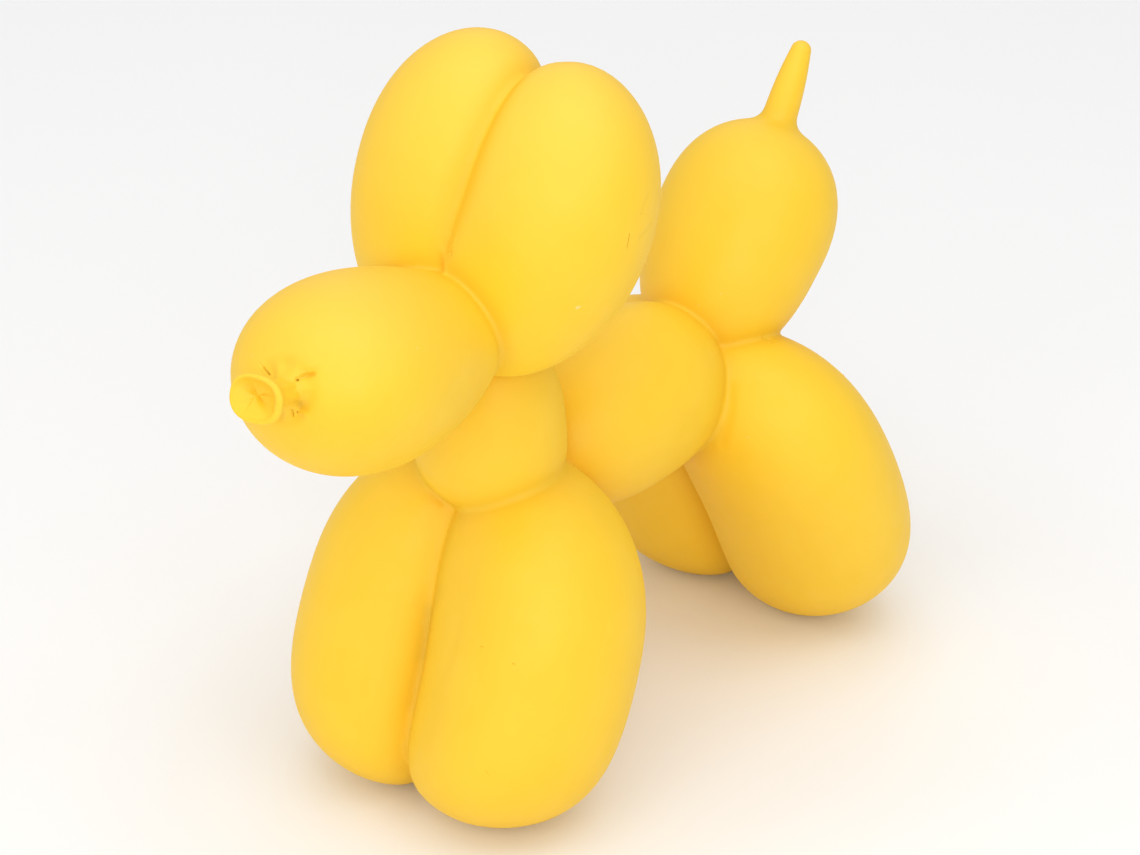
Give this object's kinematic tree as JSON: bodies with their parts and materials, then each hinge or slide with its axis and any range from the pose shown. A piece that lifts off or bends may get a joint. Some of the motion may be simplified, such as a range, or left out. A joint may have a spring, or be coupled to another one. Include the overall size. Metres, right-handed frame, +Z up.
{
  "type": "balloon dog figurine",
  "caption": "Small plump ornament moulded as a dog twisted from one long balloon, standing on its four feet.",
  "frame": {"origin": "on the ground under the middle of the figure's outline", "axes": "the dog faces -Y, its left side is +X, +Z is up; the figure is longest along Y"},
  "size_m": [0.0772, 0.1706, 0.1437],
  "materials": {
    "moulded_yellow": "matte moulded yellow, with a faint mottle and a soft sheen"
  },
  "bodies": {
    "root": {"balloon_dog": "moulded_yellow"}
  },
  "joints": []
}
